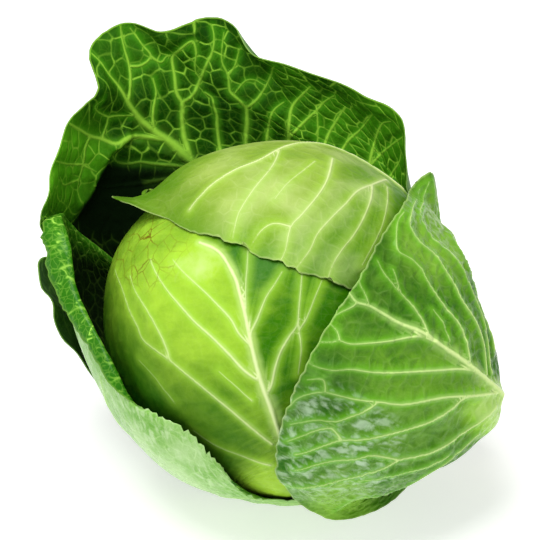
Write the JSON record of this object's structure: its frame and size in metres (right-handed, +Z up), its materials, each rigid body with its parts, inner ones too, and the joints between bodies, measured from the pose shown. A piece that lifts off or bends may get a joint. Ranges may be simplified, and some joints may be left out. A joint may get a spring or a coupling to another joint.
{
  "type": "cabbage head",
  "caption": "Head of white cabbage lying on its side, with loose green outer leaves cupping a tight round heart and a cut stalk at the back.",
  "frame": {"origin": "middle of the small flat on the lowest outer leaf, where the head rests", "axes": "+Z up from the resting surface, -Y towards the front of the head, +X towards the side that the cut stalk points to"},
  "size_m": [0.2354, 0.2201, 0.2017],
  "materials": {
    "heart_leaf": "waxy pale green",
    "head_leaf": "glossy yellow green with pale veins",
    "wrapper_leaf": "waxy pale green with a whitish bloom",
    "left_leaf": "satin mid green inside, pale and waxy outside",
    "right_leaf": "glossy mid green with pale veins",
    "dark_leaf": "satin dark green with light green veins",
    "stalk_pith": "matte pale pith with a dry cut end"
  },
  "bodies": {
    "root": {"stalk": "stalk_pith", "heart": "heart_leaf", "rear_head_leaf": "head_leaf", "front_head_leaf": "head_leaf", "top_wrapper_leaf": "wrapper_leaf", "left_outer_leaf": "left_leaf", "lower_back_outer_leaf": "dark_leaf", "back_outer_leaf": "dark_leaf", "right_outer_leaf": "right_leaf"}
  },
  "joints": []
}
